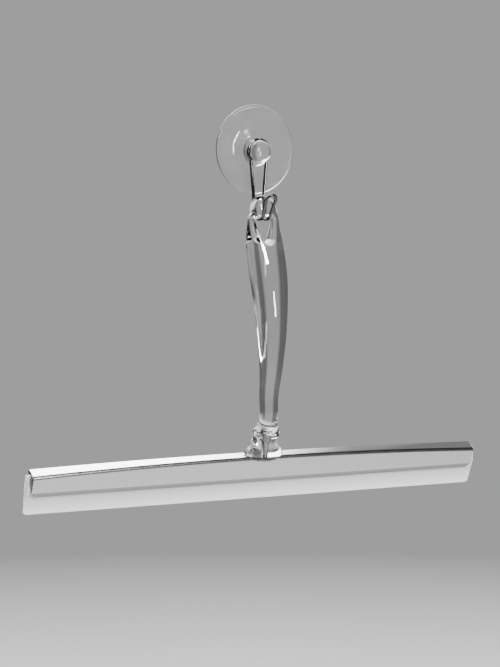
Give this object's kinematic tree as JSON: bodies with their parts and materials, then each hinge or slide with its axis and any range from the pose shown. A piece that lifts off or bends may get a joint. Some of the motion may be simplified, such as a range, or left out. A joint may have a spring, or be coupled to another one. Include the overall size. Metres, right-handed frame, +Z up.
{
  "type": "window squeegee",
  "caption": "Window and shower squeegee with a clear bowed handle, arched chromed channel and translucent blade, hung by a wire hook on a clear suction cup.",
  "frame": {"origin": "middle of the suction cup's sealing face, on the wall", "axes": "+Z up the wall, +X along the head to the right seen from the front, +Y into the wall"},
  "size_m": [0.31, 0.0278, 0.2349],
  "materials": {
    "clear_soft_pvc": "clear flexible PVC, glossy",
    "chromed_wire": "polished chrome plate",
    "clear_acrylic": "clear polished acrylic",
    "nickel_plate": "nickel-plated turned brass",
    "stainless_steel": "plain stainless steel",
    "chromed_sheet": "polished sheet with a fine brushed front",
    "white_packing": "moulded plastic",
    "clear_white_silicone": "translucent white silicone, satin"
  },
  "bodies": {
    "cup": {"suction_cup": "clear_soft_pvc"},
    "hook": {"wire_hook": "chromed_wire"},
    "squeegee": {"handle": "clear_acrylic", "handle_insert": "nickel_plate", "handle_foot": "clear_acrylic", "foot_screw": "stainless_steel", "screw_washer": "stainless_steel", "blade_channel": "chromed_sheet", "packing_strips": "white_packing"},
    "blade": {"squeegee_blade": "clear_white_silicone"}
  },
  "joints": [
    {"name": "hook_turn", "type": "hinge", "parent": "cup", "child": "hook", "pos_m": [0, -0.0052, -0.0015], "axis": [0, 1, 0], "continuous": true},
    {"name": "squeegee_swing", "type": "hinge", "parent": "hook", "child": "squeegee", "pos_m": [0, -0.0102, -0.0368], "axis": [-1, 0, 0], "range_deg": [-0.9, 7]},
    {"name": "blade_slide", "type": "slide", "parent": "squeegee", "child": "blade", "axis": [1, 0, 0], "range_m": [0, 0.31]}
  ]
}
